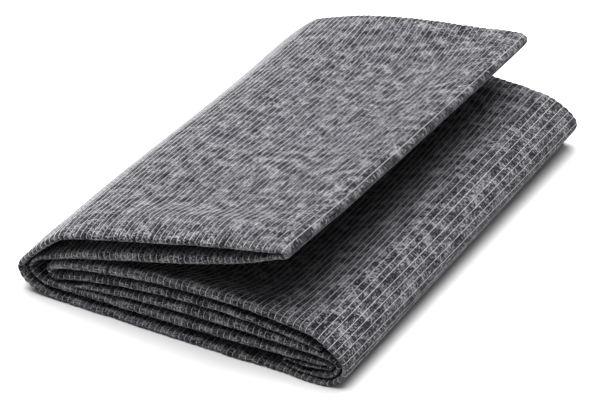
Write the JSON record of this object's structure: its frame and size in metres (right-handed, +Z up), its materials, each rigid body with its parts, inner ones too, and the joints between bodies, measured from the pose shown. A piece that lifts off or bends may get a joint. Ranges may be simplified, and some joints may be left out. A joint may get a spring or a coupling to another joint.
{
  "type": "folded bundle of stitched fusible interfacing",
  "caption": "Cut of stitched non-woven interfacing, doubled end to end, then folded flat across into a layered bundle with its last turn standing open as a flap.",
  "frame": {"origin": "middle of the bundle's outline, on the surface that it rests on", "axes": "+Z up, +Y from the front end to the back end along the stitches, +X from the left folds to the right folds"},
  "size_m": [0.1644, 0.2346, 0.0593],
  "materials": {
    "interfacing": "matt felted non-woven in mottled charcoal grey, with fine pale stitch threads along its length"
  },
  "bodies": {
    "root": {"interfacing": "interfacing"}
  },
  "joints": []
}
